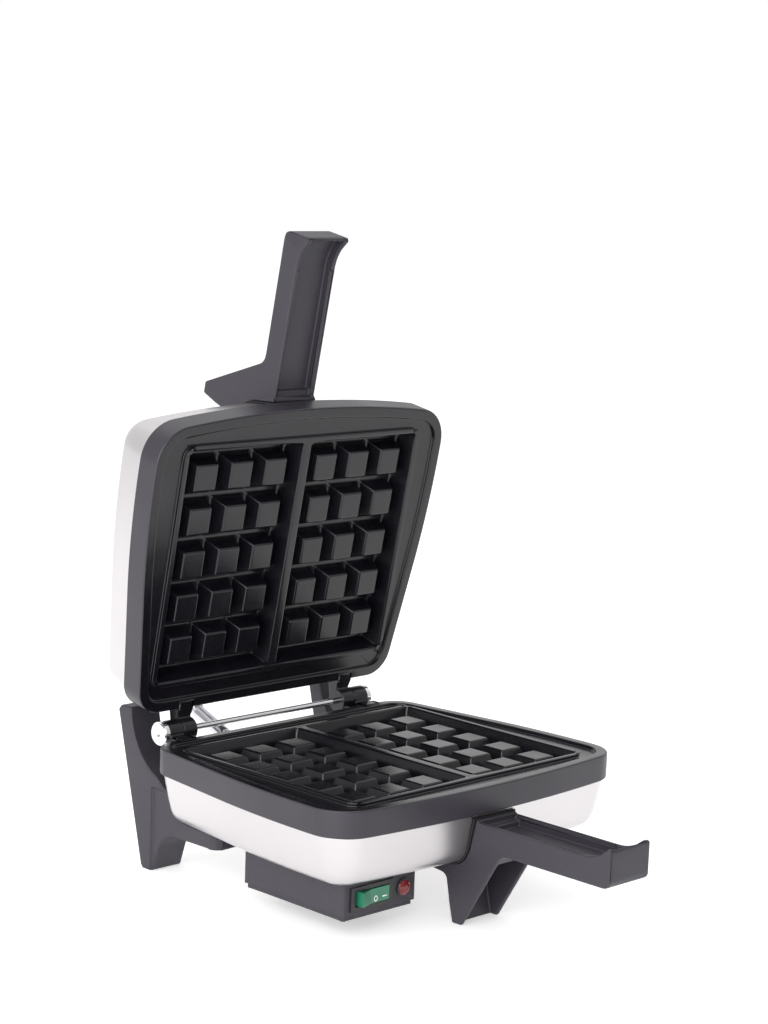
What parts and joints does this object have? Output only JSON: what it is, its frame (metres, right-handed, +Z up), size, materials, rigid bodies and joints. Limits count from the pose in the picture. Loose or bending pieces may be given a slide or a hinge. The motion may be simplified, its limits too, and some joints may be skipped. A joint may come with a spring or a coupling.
{
  "type": "waffle maker",
  "caption": "Double Belgian waffle maker with hinged cast plates, steel shells, moulded fixed handles, rear stands and a switch box with a rocker and lamp.",
  "frame": {"origin": "on the counter, below the middle of the waffle maker as it stands with its lid open", "axes": "+X along the hinge axis to the user's right, +Y to the rear where the hinge is, +Z up"},
  "size_m": [0.241, 0.357, 0.3981],
  "materials": {
    "plate_coating": "satin black non-stick coating on cast aluminium",
    "shell_steel": "satin stainless steel",
    "moulded_plastic": "dark grey moulded plastic",
    "black_plastic": "black plastic",
    "pad_rubber": "black heat-resistant rubber",
    "hinge_chrome": "polished chrome",
    "rod_steel": "bright steel",
    "fastener_steel": "zinc-plated steel",
    "element_sheath": "heat-darkened steel sheath",
    "reflector_sheet": "plain aluminium sheet",
    "rocker_green": "glossy green plastic with white marks",
    "lamp_red": "clear red faceted plastic",
    "lamp_case": "white plastic",
    "terminal_plastic": "cream heat-resistant plastic",
    "contact_brass": "plain brass",
    "conduit_metal": "bright metal conduit"
  },
  "bodies": {
    "base": {"lower_plate": "plate_coating", "lower_shell": "shell_steel", "lower_element": "element_sheath", "lower_element_clamps": "fastener_steel", "lower_reflector": "reflector_sheet", "lower_shell_screws": "fastener_steel", "lower_handle": "moulded_plastic", "lower_handle_pad": "pad_rubber", "lower_handle_screws": "fastener_steel", "left_stand": "moulded_plastic", "right_stand": "moulded_plastic", "stand_screws": "fastener_steel", "switch_box": "moulded_plastic", "switch_box_cover": "moulded_plastic", "cover_screws": "fastener_steel", "switch_housing": "black_plastic", "switch_contacts": "contact_brass", "lamp_bezel": "black_plastic", "lamp_lens": "lamp_red", "lamp_body": "lamp_case", "cord_gland": "black_plastic", "terminal_block": "terminal_plastic", "earth_stud": "contact_brass", "thermostat": "fastener_steel", "thermal_fuse": "terminal_plastic", "hinge_rod": "rod_steel", "hinge_caps": "hinge_chrome", "lower_conduit_gland": "fastener_steel", "conduit": "conduit_metal"},
    "lid": {"lid_plate": "plate_coating", "lid_shell": "shell_steel", "lid_element": "element_sheath", "lid_element_clamps": "fastener_steel", "lid_reflector": "reflector_sheet", "lid_shell_screws": "fastener_steel", "lid_handle": "moulded_plastic", "lid_handle_pad": "pad_rubber", "lid_handle_screws": "fastener_steel", "lid_conduit_gland": "fastener_steel"},
    "rocker": {"switch_rocker": "rocker_green"}
  },
  "joints": [
    {"name": "lid_hinge", "type": "hinge", "parent": "base", "child": "lid", "pos_m": [0, 0.1291, 0.0875], "axis": [1, 0, 0], "range_deg": [-19, 79], "deforming": ["conduit"]},
    {"name": "power_rocker", "type": "hinge", "parent": "base", "child": "rocker", "pos_m": [-0.073, -0.0429, 0.0253], "axis": [0, 0, 1], "range_deg": [-16, 0]}
  ]
}
